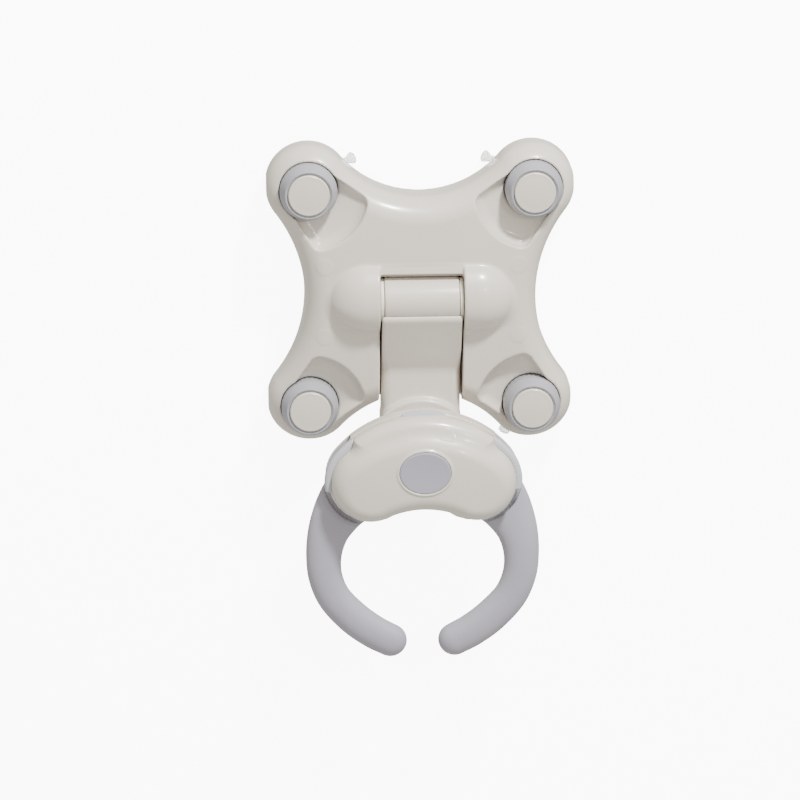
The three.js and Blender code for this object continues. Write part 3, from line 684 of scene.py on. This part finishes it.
def knob_ring_profile():
    """The grey skirt: a knurled wall down in the well, then a cone up to the cap's seat."""
    low, high = box_mm("lock_ring_back_left")[0].z, box_mm("lock_ring_back_left")[1].z
    return rounded(
        [
            (3.5, low + 0.4), (6.4, low + 0.4), (6.4, 27.4), (12.3, 27.4), (12.3, low),
            (KNOB_R, low), (KNOB_R, 28.4), (11.75, high), (11.3, high), (11.1, high - 0.6),
            (10.4, high - 0.6), (10.4, 30.6), (3.5, 30.6),
        ],
        0.45,
    )


def knurl(piece, x0, y0, r_from, z_to, count=36, depth=0.32):
    """Fine upright ribs round the wall of a knob, where it is wide and low."""
    for v in piece.data.vertices:
        p = v.co / MM - Vector((x0, y0 + MIDDLE_Y, 0))
        r = math.hypot(p.x, p.y)
        if r > r_from and p.z < z_to:
            wave = 0.5 + 0.5 * math.cos(count * math.atan2(p.y, p.x))
            fade = min(1.0, (z_to - p.z) / 1.2)
            scale = (r - depth * wave * fade) / r
            v.co.x = (p.x * scale + x0) * MM
            v.co.y = (p.y * scale + y0 + MIDDLE_Y) * MM


def knob_cap_profile():
    low, high = box_mm("lock_cap_back_left")[0].z, box_mm("lock_cap_back_left")[1].z
    rim = high - 0.9
    dome = [(CAP_R * math.sin(a), rim + 0.9 * math.cos(a)) for a in np.linspace(0.9, 0, 7)[:-1]]
    return [
        (0, low), (10.05, low), (CAP_R, low + 0.3), (CAP_R, rim - 0.2), (10.1, rim + 0.25),
        (9.7, rim + 0.55), *dome, (0, high),
    ]


def stem_profile():
    low, high = box_mm("cup_stem_back_left")[0].z, box_mm("cup_stem_back_left")[1].z
    return rounded([(0, low), (4, low), (4, 8.4), (3.2, 8.4), (3.2, high), (0, high)], 0.3)


# ------------------------------------------------------------------ arm


def either_soft(a, b, k):
    """A smooth minimum that is rounded over a width k."""
    h = np.clip(0.5 + 0.5 * (b - a) / k, 0, 1)
    return b + (a - b) * h - k * h * (1 - h)


def arm_top(y):
    """Height of the arm: a flat end, a slope up towards the hinge, and the lip's flat top."""
    slope_line = 37.6 + 0.4556 * (y + 12)
    rising = -either_soft(-slope_line, -np.full_like(y, ARM_TOP), 1.2)
    return either_soft(rising, np.full_like(y, LIP_TOP), 0.7)


def arm_shell(x, y, z):
    edge = np.clip((-24 - y) / 16, 0, 1)
    shoulder = 1.2 + 3.6 * edge * edge * (3 - 2 * edge)
    u = np.maximum(np.abs(x) - ARM_HALF + shoulder, 0)
    v = np.maximum(z - arm_top(y) + shoulder, 0)
    link = (
        np.minimum(np.maximum(np.abs(x) - ARM_HALF, z - arm_top(y)), -shoulder) + np.hypot(u, v)
    )
    bottom = ARM_BOTTOM + np.clip((y + 9) / 9, 0, 1) * 2.3
    link = both(link, bottom - z, 0.8)
    lip = np.maximum(0.913 * y + 0.408 * (z - HINGE_Z), y)
    link = both(link, np.maximum(lip, SWIVEL_Y - y), 2.6)
    link = without(link, np.hypot(y, z - HINGE_Z) - BARREL_R - 0.3, 0.3)
    top = slab(z, ARM_BOTTOM, TURNTABLE_TOP)
    table = both(from_swivel(x, y, TURNTABLE_R), np.maximum(top, np.abs(x) - ARM_HALF), 1.4)
    collar = both(from_swivel(x, y, COLLAR_R - 1.2 * np.maximum(22 - z, 0)), top, 1.0)
    arm = either(either(link, table, 1.4), collar, 0.8)
    pocket = np.maximum(
        rounded_rectangle(x, y + 31.5, ARM_HALF - 2.6, 15.5, 1.5), z - 21
    )
    post_hole = from_swivel(x, y, 8.3)
    washer_well = np.maximum(from_swivel(x, y, 13.2), z - 17.2)
    return without(arm, np.minimum(np.minimum(post_hole, washer_well), pocket), 0.3)


def swivel_ring(x, y, z):
    """The friction ring between the arm and the head, with a groove round its rim."""
    low, high = box_mm("swivel_ring")[0].z, box_mm("swivel_ring")[1].z
    ring = both(from_swivel(x, y, 22.8), slab(z, low, high), 0.8)
    groove = np.hypot(from_swivel(x, y, 23.1), z - (low + high) / 2) - 0.8
    return without(without(ring, from_swivel(x, y, 14), 0.5), groove, 0.3)


def barrel_profile():
    """(radius, distance along the hinge) of the knuckle, with rounded ends."""
    half = (box_mm("arm_barrel")[1].x - box_mm("arm_barrel")[0].x) / 2
    r = BARREL_R - 0.02
    return rounded(
        [(PIN_BORE_R, -half), (r, -half), (r, half), (PIN_BORE_R, half)], 0.9, 6
    )


# ------------------------------------------------------------------ head


def head_base(x, y, z):
    plan = frame_plan(x, y)
    body = both(plan, HEAD_BOTTOM - z, 5.5)
    body = both(body, z - FRAME_LOW + 0.3, 0.4)
    floor_top = 38.7
    inside = np.maximum(plan + 3, floor_top - z)
    sweep = np.maximum(from_pivots(x, y, FRAME_R + 0.6), floor_top - z)
    mouth = np.maximum(y + 76, floor_top - z)
    body = without(body, np.minimum(np.minimum(inside, sweep), mouth), 0.3)
    post = both(from_swivel(x, y, 8), slab(z, 17, HEAD_BOTTOM + 1), 0.6)
    body = either(body, post, 0.8)
    screw = disc(np.abs(x), y, HEAD_SCREW_X, HEAD_SCREW_Y, 0)
    holes = np.minimum(screw - 1.7, np.maximum(screw - 3.3, z - HEAD_BOTTOM - 2))
    holes = np.minimum(holes, from_pivots(x, y, PIN_BORE_R))
    holes = np.minimum(holes, np.maximum(from_swivel(x, y, 2.6), z - 36.4))
    return without(body, holes, 0.2)


def head_frame(x, y, z):
    plan = frame_plan(x, y)
    body = both(both(plan, z - FRAME_HIGH, 2.0), FRAME_LOW - z, 0.5)
    under_cover = np.minimum(cover_plan(x, y), shoulder_plan(x, y)) + 0.1
    seat = np.maximum(under_cover, COVER_LOW - 0.05 - z)
    edge = np.maximum(under_cover, -1.6 - plan)
    front = np.maximum(y + 92, -3.2 - cover_plan(x, y))
    body = without(body, np.minimum(np.minimum(seat, edge), front), 0.2)
    holes = np.minimum(from_swivel(x, y, 4.3), disc(np.abs(x), y, HEAD_SCREW_X, HEAD_SCREW_Y, 1.8))
    pin_seat = np.maximum(from_pivots(x, y, PIN_BORE_R), z - FRAME_LOW - 2.4)
    return without(body, np.minimum(holes, pin_seat), 0.2)


def head_cover(x, y, z):
    top = HEAD_TOP - 0.2 - 3.2 * (x / 45) ** 2 - 2.2 * ((y + 90) / 32) ** 2
    towards_back = np.clip((y + 100) / 36, 0, 1)
    dome = both(cover_plan(x, y), z - top, 7.6 + 3.4 * towards_back)
    skin = either(dome, both(shoulder_plan(x, y), z - 59.2, 6.5), 2.2)
    rim = both(button_plan(x, y, 1.2), z - top - 0.55, 0.6)
    skin = either(skin, np.maximum(rim, 60 - z), 0.8)
    shell = both(skin, -(skin + 2.4))
    screw = disc(np.abs(x), y, HEAD_SCREW_X, HEAD_SCREW_Y, 0)
    post = np.maximum(np.maximum(screw - 3.4, z - 61), skin)
    shell = either(shell, post, 0.4)
    skirt = COVER_LOW - 1.5 * np.clip((-92.5 - y) / 1.5, 0, 1)
    shell = both(shell, skirt - z, 0.5)
    collar = np.maximum(button_plan(x, y, 1.8), slab(z, 58, 63))
    shell = either(shell, collar, 0.4)
    shell = without(shell, button_plan(x, y, 0.1), 0.35)
    return without(shell, np.maximum(screw - 1.8, z - 58))


def back_insert(x, y, z):
    """A lens-shaped grey pad let into the middle of the head's back wall."""
    skin = frame_plan(x, y)
    plate = both(skin - 0.25, -0.6 - skin, 0.2)
    lens = ((np.abs(x) / 11) ** 2.4 + (np.abs(z - FRAME_LOW) / 5) ** 2.4) ** (1 / 2.4)
    return both(np.maximum(plate, SWIVEL_Y - y), 5 * (lens - 1), 0.3)


def release_button(x, y, z):
    top = box_mm("release_button")[1].z
    dish = 0.35 * np.clip(1 - (x / BUTTON_X) ** 2 - ((y - SWIVEL_Y) / BUTTON_Y) ** 2, 0, 1)
    cap = both(button_plan(x, y), np.maximum(z - top + dish, 60 - z), 0.4)
    stem = both(from_swivel(x, y, 3), slab(z, 50.4, 61), 0.4)
    return either(cap, stem, 0.6)


# ------------------------------------------------------------------ jaws

JAW_PATH = np.array([  # x, y, half width and half height from the pivot to the tip
    (-31, -92.5, 17, 2.6), (-37.2, -98.6, 15, 3.4), (-43, -106.8, 12.6, 4.8),
    (-47.6, -117, 10.3, 5.9), (-49.6, -128.5, 9, 6.3), (-48.8, -140, 8.6, 6.4),
    (-44.2, -151.4, 8.5, 6.4), (-34.8, -162, 8.7, 6.4), (-25, -169.6, 8.6, 6.3),
    (-16.3, -174.4, 8.4, 6.2),
], float)


def spline(points, steps):
    """A Catmull-Rom curve through the points."""
    padded = np.vstack([2 * points[0] - points[1], points, 2 * points[-1] - points[-2]])
    out = []
    for i in range(1, len(padded) - 2):
        a, b, c, d = padded[i - 1 : i + 3]
        for t in np.linspace(0, 1, steps, endpoint=False):
            out.append(
                0.5 * (2 * b + (c - a) * t + (2 * a - 5 * b + 4 * c - d) * t**2
                       + (3 * b - a - 3 * c + d) * t**3)
            )
    out.append(points[-1])
    return np.array(out)


JAW_LINE = spline(JAW_PATH, 10)


def jaw_arm(x, y, z):
    """Distance to the jaw: an oval section swept along its line."""
    starts, spans = JAW_LINE[:-1], np.diff(JAW_LINE, axis=0)
    length2 = (spans[:, :2] ** 2).sum(1)
    out = np.empty_like(x)
    for first in range(0, len(x), 40000):
        part = slice(first, first + 40000)
        px, py = x[part, None] - starts[:, 0], y[part, None] - starts[:, 1]
        t = np.clip((px * spans[:, 0] + py * spans[:, 1]) / length2, 0, 1)
        gap = np.hypot(px - t * spans[:, 0], py - t * spans[:, 1])
        best = gap.argmin(1)
        rows = np.arange(len(best))
        side, t = gap[rows, best], t[rows, best]
        width = starts[best, 2] + t * spans[best, 2]
        height = starts[best, 3] + t * spans[best, 3]
        u, v = side / width, np.abs(z[part] - JAW_Z) / height
        size = (u**2.15 + v**2.15) ** (1 / 2.15)
        out[part] = (size - 1) * np.minimum(width, height)
    return out


def jaw(sign):
    def field(x, y, z):
        x = -sign * x
        hub_low, hub_high = 39.0, 44.5
        hub_r = disc(x, y, -HUB_X, HUB_Y, 0)
        outside = FRAME_R + 0.9 - hub_r
        arm = both(jaw_arm(x, y, z), np.minimum(outside, slab(z, hub_low, hub_high)), 0.4)
        body = either(arm, both(hub_r - JAW_HUB_R, slab(z, hub_low, hub_high), 0.4), 0.8)
        bore = np.minimum(hub_r - 3.3, np.maximum(hub_r - 9, 41 - z))
        return without(body, bore, 0.2)

    return field


# ------------------------------------------------------------------ building and riding


def keep(piece, body, material_slot, *nodes):
    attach(piece, body)
    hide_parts(*nodes)
    return piece


def lying(piece, y, z):
    """Turns a piece spun about the upright axis to lie along X at (y, z)."""
    turn = Matrix.Rotation(math.pi / 2, 4, "Y")
    piece.data.transform(Matrix.Translation((0, -MIDDLE_Y * MM, 0)))
    piece.data.transform(turn)
    piece.data.transform(Matrix.Translation((0, (MIDDLE_Y + y) * MM, z * MM)))
    return piece


keep(moulded("base_cover_fine", base_cover, "base_cover", 0.7, CREAM),
     "base", "cream_shell", "base_cover")
keep(moulded("base_plate_fine", base_plate, "base_plate", 0.6, BASE_GREY),
     "base", "pale_grey_plastic", "base_plate")

for place_name, (x0, y0) in LOBES.items():
    cup = suction_cup(x0, y0, TAB_TURNS[place_name])
    keep(moulded(f"cup_{place_name}", cup, f"suction_cup_{place_name}", 0.5, SILICONE),
         "base", "silicone", f"suction_cup_{place_name}")
    ring = turned(f"ring_{place_name}", x0, y0, knob_ring_profile(), KNOB_GREY, 216)
    knurl(ring, x0, y0, 13.9, 28.0)
    keep(ring, f"lock_{place_name}", "pale_grey_plastic", f"lock_ring_{place_name}")
    keep(turned(f"cap_{place_name}", x0, y0, knob_cap_profile(), CREAM),
         f"lock_{place_name}", "cream_shell", f"lock_cap_{place_name}")
    keep(turned(f"stem_{place_name}", x0, y0, stem_profile(), STEEL, 48),
         f"stem_{place_name}", "steel", f"cup_stem_{place_name}")

keep(moulded("arm_shell_fine", arm_shell, "arm_shell", 0.6, CREAM),
     "arm", "cream_shell", "arm_shell")
barrel = lying(turned("arm_barrel_fine", 0, 0, barrel_profile(), CREAM), 0, HINGE_Z)
keep(barrel, "arm", "cream_shell", "arm_barrel")
for side, sign in SIDES:
    low, high = box_mm(f"friction_washer_{side}")
    thick = (high.x - low.x) / 2
    washer_profile = rounded([(3.3, -thick), (10.9, -thick), (10.9, thick), (3.3, thick)], 0.3)
    washer = lying(turned(f"washer_{side}", 0, 0, washer_profile, NYLON), 0, HINGE_Z)
    washer.data.transform(Matrix.Translation((middle(f"friction_washer_{side}").x * MM, 0, 0)))
    keep(washer, "base", "nylon", f"friction_washer_{side}")
keep(moulded("swivel_ring_fine", swivel_ring, "swivel_ring", 0.45, KNOB_GREY),
     "arm", "soft_grey", "swivel_ring")

keep(moulded("head_base_fine", head_base, "head_base", 0.55, CREAM, 1.0),
     "head", "cream_shell", "head_base")
keep(moulded("head_frame_fine", head_frame, "head_frame", 0.5, PALE_GREY, 1.0),
     "head", "pale_grey_plastic", "head_frame")
keep(moulded("head_cover_fine", head_cover, "head_cover", 0.5, CREAM, 6.0),
     "head", "cream_shell", "head_cover")
insert = moulded("back_insert", back_insert, "head_frame", 0.4, PALE_GREY, 6.0)
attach(insert, "head")
keep(moulded("button_fine", release_button, "release_button", 0.4, SOFT_GREY),
     "button", "soft_grey", "release_button")
for side, sign in SIDES:
    keep(moulded(f"jaw_{side}_fine", jaw(sign), f"jaw_{side}", 0.55, SOFT_GREY),
         f"jaw_{side}", "soft_grey", f"jaw_{side}")

CARRIED = {
    STEEL: ["base_screw_1", "base_screw_2", "base_screw_3", "base_screw_4", "hinge_pin",
            "swivel_screw", "swivel_washer", "head_screw_1", "head_screw_2", "button_spring",
            "jaw_pin_left", "jaw_pin_right", "jaw_spring_left", "jaw_spring_right"],
    NYLON: ["jaw_gear_left", "jaw_gear_right"],
    CREAM_INSIDE: ["hinge_block_left", "hinge_block_right"],
    CREAM: ["arm_bottom"],
}
for material, names in CARRIED.items():
    for node_name in names:
        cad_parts[node_name].data.materials.clear()
        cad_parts[node_name].data.materials.append(material)

# ------------------------------------------------------------------ stage


FLOOR_GLOW = 9.0
FLOOR_HALF = 6000  # mm
EYE, AIM = (-108.55, 535.38, 1863.37), (-10.7, -51.4, 30)  # mm, from the middle of the base
LENS = 173.9


def floor():
    n = Nodes("pale_floor")
    color = n.blend(n.noise(3.0), (0.93, 0.93, 0.93), (0.955, 0.955, 0.955))
    n.link(color, n.shader.inputs["Base Color"])
    n.shader.inputs["Roughness"].default_value = 0.9
    n.shader.inputs["Emission Color"].default_value = (1, 1, 1, 1)
    n.shader.inputs["Emission Strength"].default_value = FLOOR_GLOW
    corners = [(FLOOR_HALF * x, FLOOR_HALF * y, -0.05) for x, y in ((-1, -1), (1, -1), (1, 1), (-1, 1))]
    made = mesh_object("floor", corners, [(0, 1, 2, 3)], n.material, smooth=False)
    made.visible_diffuse = False
    made.visible_glossy = False


def lamp(name, toward, distance, size, watts, color=(1, 1, 1)):
    """An area light in the direction `toward` from the object, facing it."""
    data = bpy.data.lights.new(name, "AREA")
    data.shape = "DISK"
    data.size = size
    data.energy = watts
    data.color = color
    light = bpy.data.objects.new(name, data)
    aim = Vector((0, 0, 0.03))
    light.location = aim + Vector(toward).normalized() * distance
    light.rotation_euler = (light.location - aim).to_track_quat("Z", "Y").to_euler()
    bpy.context.scene.collection.objects.link(light)


def sky():
    world = bpy.data.worlds.new("studio")
    world.use_nodes = True
    bpy.context.scene.world = world
    shade = world.node_tree.nodes["Background"]
    shade.inputs["Color"].default_value = (1.0, 0.965, 0.91, 1)
    shade.inputs["Strength"].default_value = 0.88


def camera():
    """Over the back of the base, looking down, with the back of the base at the top."""
    data = bpy.data.cameras.new("camera")
    data.lens = LENS
    data.sensor_width = 36
    data.clip_end = 100
    eye = Vector(place([EYE])[0])
    aim = Vector(place([AIM])[0])
    back = (eye - aim).normalized()
    right = Vector((0, 1, 0)).cross(back).normalized()
    up = back.cross(right)
    turn = Matrix((right, up, back)).transposed()
    made = bpy.data.objects.new("camera", data)
    made.matrix_world = Matrix.Translation(eye) @ turn.to_4x4()
    bpy.context.scene.collection.objects.link(made)
    bpy.context.scene.camera = made


floor()
sky()
lamp("key", (0.275, 0.85, 0.45), 1.6, 0.2, 50, (1.0, 0.99, 0.975))
lamp("spark", (0.385, 0.40, 0.829), 1.5, 0.016, 3.0)
camera()
